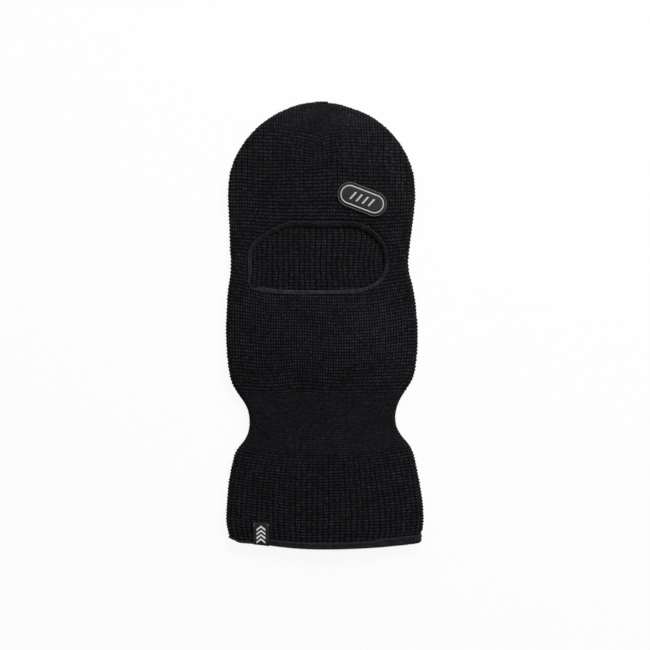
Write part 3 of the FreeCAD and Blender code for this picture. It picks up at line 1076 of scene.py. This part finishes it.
def build_label():
    """The woven tape folded over the hem, three woven chevrons, and the tacks at its top corners."""
    outer = resample(np.array(TAPE_PATH), 0.5)
    ahead = directions(outer)
    inner = outer + np.stack([-ahead[:, 1], ahead[:, 0]], 1) * TAPE_THICK
    ring = np.vstack([outer, inner[::-1]])
    columns = np.linspace(TAPE_LEFT, TAPE_LEFT + TAPE_WIDTH, 24)
    grid = np.stack([surface(np.full(len(ring), x), hem_low(x) + ring[:, 0], 1, ring[:, 1]) for x in columns])
    across_mm = np.repeat(columns - TAPE_LEFT, len(ring))
    out_and_back = np.concatenate([np.arange(len(outer)), np.arange(len(outer))[::-1]])
    along_mm = np.tile(out_and_back * 0.5, len(columns))
    tape = sweep("hem_label_tape", grid[:, ::-1], TAPE, False, along=along_mm, around=across_mm)
    middle = TAPE_LEFT + TAPE_WIDTH / 2
    parts = []
    for top in CHEVRON_TOPS:
        low = top - CHEVRON_FALL
        bend = resample([(middle - CHEVRON_HALF, low), (middle, top), (middle + CHEVRON_HALF, low)], 0.5)
        rings = []
        for off, height in bar_section([(1.0, -0.1), (0.95, 0.2), (0.7, 0.28)]):
            x, y = bend[:, 0], bend[:, 1] + off
            rings.append(surface(x, y, 1, tape_height(y - hem_low(x)) + height))
        parts.append(np.stack(rings, 1))
    motif = joined_sweeps("label_chevrons", parts, PRINT)
    spans = [[(x, y) for y in TACK_ENDS] for x in (TAPE_LEFT + 1.0, TAPE_LEFT + TAPE_WIDTH - 1.0)]
    tacks = joined_stitches("label_bar_tacks", spans, 0.7, 0.9, PALE)
    return tape, motif, tacks


def build_join():
    """The overlap where the two ends of the hem's strip meet, near its right corner."""
    x = np.linspace(84.0, 97.2, 28)
    section = [(5.6, 0.7), (5.3, 1.3), (4.6, 1.6), (3.5, 1.75), (2.4, 1.6), (1.3, 1.1), (0.4, 0.2),
               (0.9, -0.2), (2.2, 0.5), (4.4, 0.6)]
    lump = 0.25 * np.sin(x * 1.9) + 0.15 * np.sin(x * 4.1 + 1)
    size = np.sqrt(np.clip(1 - np.abs((x - 90.6) / 6.65) ** 6, 0.05, 1))
    rings = []
    for rise, height in section:
        y = hem_low(x) + 3.0 + (rise - 3.0) * size
        placed, normal = fold(x, y, 1)
        raised = 0.5 + (height - 0.5) * size + lump * 0.6 * (height > 1)
        rings.append(placed + normal * raised[:, None])
    grid = np.stack(rings, 1)[:, ::-1]
    along = np.repeat(x, len(section))
    around = np.tile(np.arange(len(section)), len(x))
    lightness = np.ones(len(along))
    return sweep("hem_overlap", grid, JERSEY, False, along=along, around=around, lightness=lightness)


def build_crown():
    """The gathered knot at the apex, and the stitched seams inside the front and the back dart."""
    top = TOP_Y - 1.0
    grids = []
    for k, x in enumerate(np.linspace(-8.2, 2.4, 6)):
        t = np.linspace(-1, 1, 11)
        size = np.sqrt(np.maximum(1 - t ** 2, 0.02))
        ring = np.linspace(0, 2 * math.pi, 12, endpoint=False)
        wide, deep = 1.15, 1.1 - 0.05 * abs(k - 2.5)
        place = np.zeros((len(t), len(ring), 3))
        place[..., 0] = x + wide * np.cos(ring)[None] * size[:, None]
        place[..., 1] = top + deep * (0.6 + np.sin(ring)[None] * size[:, None]) - 0.5 * t[:, None] ** 2
        place[..., 2] = RIM + 3.4 * t[:, None]
        grids.append(place)
    knot = joined_sweeps("crown_gather", grids, KNIT_BLACK)
    layer = knot.data.attributes.new("relief", "FLOAT", "POINT")
    layer.data.foreach_set("value", np.full(len(knot.data.vertices), 0.75, np.float32))
    seams = []
    for side, name in ((1, "crown_dart_front"), (-1, "crown_dart_back")):
        y = np.linspace(186.0, 218.0, 30)
        path = lifted(np.full(len(y), -6.0), y, side, -KNIT - 0.1)
        seams.append(beads(name, path, THREAD, 2.6, 1.2, 1.2, -1.2, False, 0.7))
    return knot, *seams


def stage_set():
    """A white floor that glows a little, an even white surround, and one soft lamp beyond the crown."""
    bpy.ops.mesh.primitive_plane_add(size=8)
    floor = bpy.context.object
    floor.name = "floor"
    material, _, base = shader("floor", 0.9, 0.1)
    for key, value in (("Base Color", grey(0.05)), ("Emission Color", grey(1.0)), ("Emission Strength", 0.915)):
        base.inputs[key].default_value = value
    floor.data.materials.append(material)
    world = bpy.data.worlds.new("studio")
    bpy.context.scene.world = world
    world.use_nodes = True
    background = world.node_tree.nodes["Background"].inputs
    background["Color"].default_value = grey(1.0)
    background["Strength"].default_value = 0.4
    light = bpy.data.lights.new("key", "AREA")
    light.size = 1.2
    light.energy = 70.0
    key = bpy.data.objects.new("key", light)
    key.location = (0.8, 1.45, 1.35)
    key.rotation_mode = "QUATERNION"
    key.rotation_quaternion = (-key.location).to_track_quat("-Z", "Y")
    bpy.context.scene.collection.objects.link(key)


def set_camera():
    """A camera that looks straight down, with a long lens."""
    data = bpy.data.cameras.new("camera")
    camera = bpy.data.objects.new("camera", data)
    height, view = 2.6, 0.65
    data.sensor_width = 36.0
    data.lens = data.sensor_width * height / view
    camera.location = (0.0004, -0.00025, height)
    bpy.context.scene.collection.objects.link(camera)
    bpy.context.scene.camera = camera
    bpy.context.scene.view_settings.view_transform = "Standard"


hood, band, skirt = build_knit()
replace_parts(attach(hood, "hood"), "hood_knit")
for piece, node in ((band, "neck_band"), (skirt, "neck_skirt")):
    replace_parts(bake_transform(piece), node)

binding = build_binding()
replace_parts(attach(binding, "hood"), "face_binding")
x, y = OUTER_LOOP[:, 0], OUTER_LOOP[:, 1]
edge = beads("face_stitches", lifted(x, y, 1, 0.35), THREAD, 2.2, 0.8, 0.7, 0.0)
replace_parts(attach(edge, "hood"), "binding_seam")

hem, hem_row = build_hem()
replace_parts(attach(hem, "neck"), "hem_band")
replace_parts(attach(hem_row, "neck"), "hem_seam")

for piece, name, node in zip(build_patch(), ("patch_rubber", "patch_line", "pale_thread", "patch_line"),
                             ("patch_base", "patch_border", "patch_stitching", "patch_motif")):
    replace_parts(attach(piece, "hood"), node)

for piece, name, node in zip(build_label(), ("label_tape", "label_print", "pale_thread"),
                             ("hem_label", "label_motif", "label_tacks")):
    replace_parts(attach(piece, "neck"), node)
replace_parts(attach(build_join(), "neck"), "hem_join")
for piece, name, node in zip(build_crown(), ("rib_knit", "thread", "thread"),
                             ("crown_closure", "crown_seam_front", "crown_seam_back")):
    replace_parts(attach(piece, "hood"), node)

stage_set()
set_camera()
